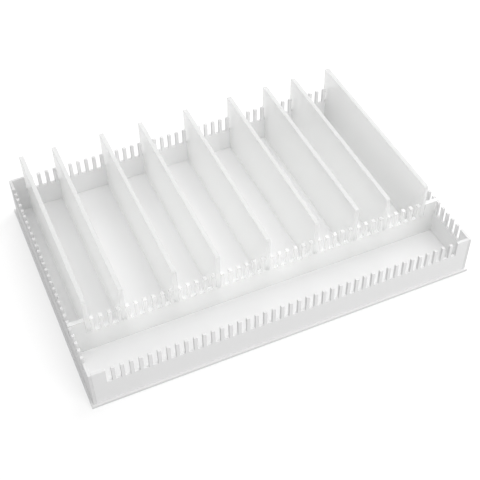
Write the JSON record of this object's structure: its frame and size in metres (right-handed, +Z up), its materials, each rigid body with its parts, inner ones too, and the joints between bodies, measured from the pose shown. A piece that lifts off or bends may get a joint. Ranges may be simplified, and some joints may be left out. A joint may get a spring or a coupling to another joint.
{
  "type": "drawer organizer insert",
  "caption": "Shallow white plastic tray with comb-slotted walls, a long slotted divider and a row of tall lift-out cross dividers.",
  "frame": {"origin": "centre of the base plate's underside", "axes": "+X along the tray's long side, +Y from the front channel to the back wall, +Z up"},
  "size_m": [0.4358, 0.3024, 0.0794],
  "materials": {
    "white_sheet": "satin white sheet with sawn edges",
    "milky_sheet": "milky, faintly see-through satin sheet"
  },
  "bodies": {
    "tray": {"base_plate": "white_sheet", "front_wall": "white_sheet", "back_wall": "white_sheet", "left_wall": "white_sheet", "right_wall": "white_sheet"},
    "long_divider": {"long_divider": "milky_sheet"},
    "cross_divider_1": {"cross_divider_1": "milky_sheet"},
    "cross_divider_2": {"cross_divider_2": "milky_sheet"},
    "cross_divider_3": {"cross_divider_3": "milky_sheet"},
    "cross_divider_4": {"cross_divider_4": "milky_sheet"},
    "cross_divider_5": {"cross_divider_5": "milky_sheet"},
    "cross_divider_6": {"cross_divider_6": "milky_sheet"},
    "cross_divider_7": {"cross_divider_7": "milky_sheet"},
    "cross_divider_8": {"cross_divider_8": "milky_sheet"},
    "cross_divider_9": {"cross_divider_9": "milky_sheet"}
  },
  "joints": [
    {"name": "long_divider_lift", "type": "slide", "parent": "tray", "child": "long_divider", "axis": [0, 0, 1], "range_m": [0, 0.055]},
    {"name": "cross_divider_1_lift", "type": "slide", "parent": "long_divider", "child": "cross_divider_1", "axis": [0, 0, 1], "range_m": [0, 0.055]},
    {"name": "cross_divider_2_lift", "type": "slide", "parent": "long_divider", "child": "cross_divider_2", "axis": [0, 0, 1], "range_m": [0, 0.055]},
    {"name": "cross_divider_3_lift", "type": "slide", "parent": "long_divider", "child": "cross_divider_3", "axis": [0, 0, 1], "range_m": [0, 0.055]},
    {"name": "cross_divider_4_lift", "type": "slide", "parent": "long_divider", "child": "cross_divider_4", "axis": [0, 0, 1], "range_m": [0, 0.055]},
    {"name": "cross_divider_5_lift", "type": "slide", "parent": "long_divider", "child": "cross_divider_5", "axis": [0, 0, 1], "range_m": [0, 0.055]},
    {"name": "cross_divider_6_lift", "type": "slide", "parent": "long_divider", "child": "cross_divider_6", "axis": [0, 0, 1], "range_m": [0, 0.055]},
    {"name": "cross_divider_7_lift", "type": "slide", "parent": "long_divider", "child": "cross_divider_7", "axis": [0, 0, 1], "range_m": [0, 0.055]},
    {"name": "cross_divider_8_lift", "type": "slide", "parent": "long_divider", "child": "cross_divider_8", "axis": [0, 0, 1], "range_m": [0, 0.055]},
    {"name": "cross_divider_9_lift", "type": "slide", "parent": "long_divider", "child": "cross_divider_9", "axis": [0, 0, 1], "range_m": [0, 0.055]}
  ]
}
